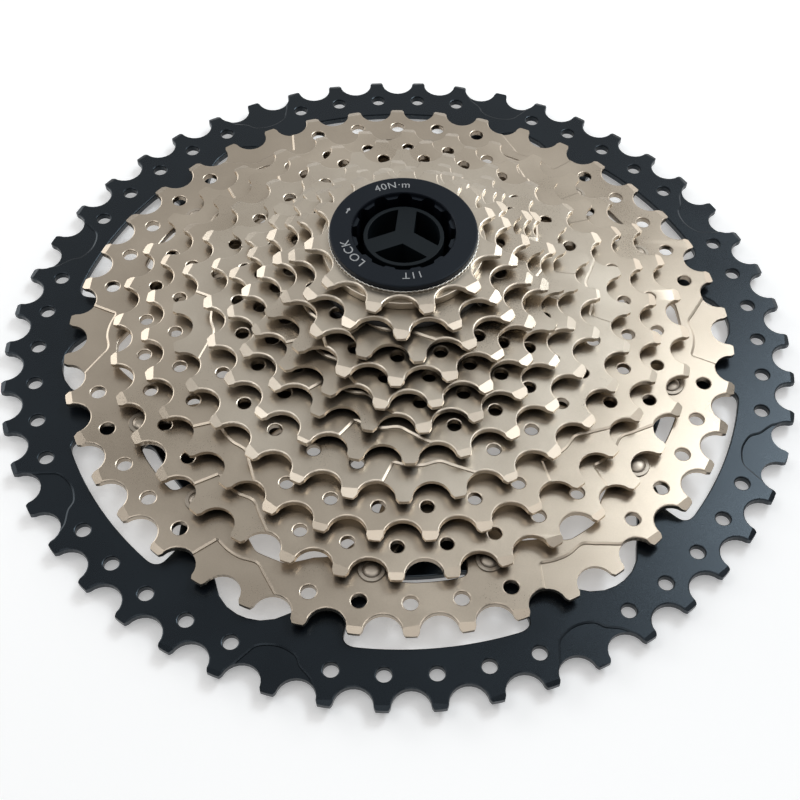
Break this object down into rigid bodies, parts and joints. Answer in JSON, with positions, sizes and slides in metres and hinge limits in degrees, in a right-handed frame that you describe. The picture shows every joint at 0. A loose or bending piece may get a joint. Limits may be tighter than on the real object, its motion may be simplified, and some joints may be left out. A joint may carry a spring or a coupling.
{
  "type": "bicycle cassette sprocket set",
  "caption": "Wide-range bicycle cassette: a cone of plated steel sprockets on a black largest sprocket with Y-shaped arms, held on a splined core by a notched lockring.",
  "frame": {"origin": "on the sprockets' common axis, at the underside of the core's flange, which is the lowest face", "axes": "+Z along the axis from the largest sprocket to the lockring; +X and +Y are across the discs"},
  "size_m": [0.2042, 0.2042, 0.0465],
  "materials": {
    "black_alloy": "black anodised, satin",
    "plated_steel": "warm nickel plating over stamped steel, satin",
    "rivet_steel": "plated, formed heads",
    "spacer_plastic": "moulded nylon, matte",
    "core_plastic": "moulded plastic, fine grain",
    "washer_steel": "serrated, bright",
    "lockring_alloy": "black anodised, matte, light grey print"
  },
  "bodies": {
    "core": {"carrier_core": "core_plastic"},
    "riveted_cluster": {"sprocket_50t": "black_alloy", "sprocket_42t": "plated_steel", "sprocket_36t": "plated_steel", "sprocket_32t": "plated_steel", "sprocket_28t": "plated_steel", "sprocket_24t": "plated_steel", "sprocket_21t": "plated_steel", "sprocket_19t": "plated_steel", "spacer_50_42": "spacer_plastic", "spacer_42_36": "spacer_plastic", "spacer_36_32": "spacer_plastic", "spacer_32_28": "spacer_plastic", "spacer_28_24": "spacer_plastic", "spacer_24_21": "spacer_plastic", "spacer_21_19": "spacer_plastic", "arm_rivet_01": "rivet_steel", "arm_rivet_02": "rivet_steel", "arm_rivet_03": "rivet_steel", "arm_rivet_04": "rivet_steel", "arm_rivet_05": "rivet_steel", "arm_rivet_06": "rivet_steel", "arm_rivet_07": "rivet_steel", "arm_rivet_08": "rivet_steel", "arm_rivet_09": "rivet_steel", "arm_rivet_10": "rivet_steel", "arm_rivet_11": "rivet_steel", "arm_rivet_12": "rivet_steel", "long_rivet_1": "rivet_steel", "long_rivet_2": "rivet_steel", "long_rivet_3": "rivet_steel"},
    "spacer_19_17": {"spacer_19_17": "spacer_plastic"},
    "sprocket_17t": {"sprocket_17t": "plated_steel"},
    "spacer_17_15": {"spacer_17_15": "spacer_plastic"},
    "sprocket_15t": {"sprocket_15t": "plated_steel"},
    "spacer_15_13": {"spacer_15_13": "spacer_plastic"},
    "sprocket_13t": {"sprocket_13t": "plated_steel"},
    "sprocket_11t": {"sprocket_11t": "plated_steel"},
    "lock_washer": {"lock_washer": "washer_steel"},
    "lockring": {"lockring": "lockring_alloy"}
  },
  "joints": [
    {"name": "cluster_slide", "type": "slide", "parent": "core", "child": "riveted_cluster", "axis": [0, 0, 1], "range_m": [0, 0.045]},
    {"name": "spacer_19_17_slide", "type": "slide", "parent": "riveted_cluster", "child": "spacer_19_17", "axis": [0, 0, 1], "range_m": [0, 0.015]},
    {"name": "sprocket_17t_slide", "type": "slide", "parent": "spacer_19_17", "child": "sprocket_17t", "axis": [0, 0, 1], "range_m": [0, 0.013]},
    {"name": "spacer_17_15_slide", "type": "slide", "parent": "sprocket_17t", "child": "spacer_17_15", "axis": [0, 0, 1], "range_m": [0, 0.011]},
    {"name": "sprocket_15t_slide", "type": "slide", "parent": "spacer_17_15", "child": "sprocket_15t", "axis": [0, 0, 1], "range_m": [0, 0.0095]},
    {"name": "spacer_15_13_slide", "type": "slide", "parent": "sprocket_15t", "child": "spacer_15_13", "axis": [0, 0, 1], "range_m": [0, 0.0075]},
    {"name": "sprocket_13t_slide", "type": "slide", "parent": "spacer_15_13", "child": "sprocket_13t", "axis": [0, 0, 1], "range_m": [0, 0.006]},
    {"name": "sprocket_11t_slide", "type": "slide", "parent": "sprocket_13t", "child": "sprocket_11t", "axis": [0, 0, 1], "range_m": [0, 0.004]},
    {"name": "lockring_lift", "type": "slide", "parent": "sprocket_11t", "child": "lock_washer", "axis": [0, 0, 1], "range_m": [0, 0.006]},
    {"name": "lockring_turn", "type": "hinge", "parent": "lock_washer", "child": "lockring", "pos_m": [0, 0, 0.0457], "axis": [0, 0, 1], "range_deg": [0, 2160]}
  ],
  "couplings": [
    {"joint": "lockring_lift", "follows": "lockring_turn", "m_per_rad": 0.00015915}
  ]
}
